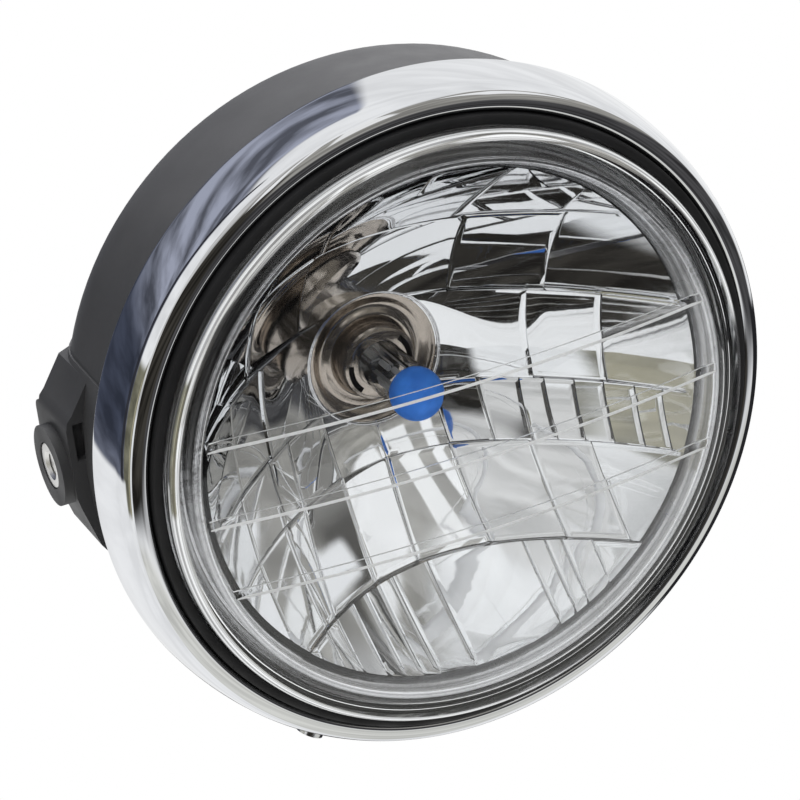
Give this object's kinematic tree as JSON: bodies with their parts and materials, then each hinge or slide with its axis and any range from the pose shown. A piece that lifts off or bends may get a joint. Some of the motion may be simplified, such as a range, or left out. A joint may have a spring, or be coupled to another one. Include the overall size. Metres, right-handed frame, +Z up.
{
  "type": "motorcycle headlight",
  "caption": "Round motorcycle headlight: ribbed domed glass over a stepped mirror reflector with a blue-tipped bulb, chrome rim, dark plastic bucket with threaded side bosses.",
  "frame": {"origin": "middle of the side bolt axis, on the lamp's own axis", "axes": "+X the viewer's right along the side bolt axis, +Y from the glass back into the bucket, +Z up"},
  "size_m": [0.2026, 0.1242, 0.198],
  "materials": {
    "housing_plastic": "satin, fine grain",
    "insert_steel": "bright zinc",
    "rim_chrome": "polished",
    "gasket_rubber": "smooth",
    "lens_glass": "clear",
    "reflector_mirror": "metallised mirror",
    "plain_steel": "zinc plated",
    "screw_chrome": "polished",
    "flange_nickel": "warm nickel",
    "bulb_glass": "clear",
    "tip_lacquer": "satin blue lacquer",
    "shield_steel": "satin",
    "filament_wire": "bright",
    "insulator_plastic": "matte",
    "terminal_brass": "bright",
    "boot_rubber": "matte"
  },
  "bodies": {
    "root": {"housing": "housing_plastic", "insert_left": "insert_steel", "insert_right": "insert_steel", "rim": "rim_chrome", "rim_gasket": "gasket_rubber", "lens": "lens_glass", "reflector": "reflector_mirror", "holding_ring": "plain_steel", "rim_screws": "screw_chrome", "rim_nuts": "plain_steel", "bulb_seat": "plain_steel", "seat_screws": "plain_steel", "bulb_spring": "plain_steel", "bulb_flange": "flange_nickel", "bulb_collar": "flange_nickel", "bulb_glass": "bulb_glass", "bulb_tip": "tip_lacquer", "bulb_shield": "shield_steel", "filament_main": "filament_wire", "filament_dip": "filament_wire", "filament_posts": "filament_wire", "bulb_insulator": "insulator_plastic", "bulb_terminals": "terminal_brass", "bulb_boot": "boot_rubber", "wiring_grommet": "boot_rubber"}
  },
  "joints": []
}
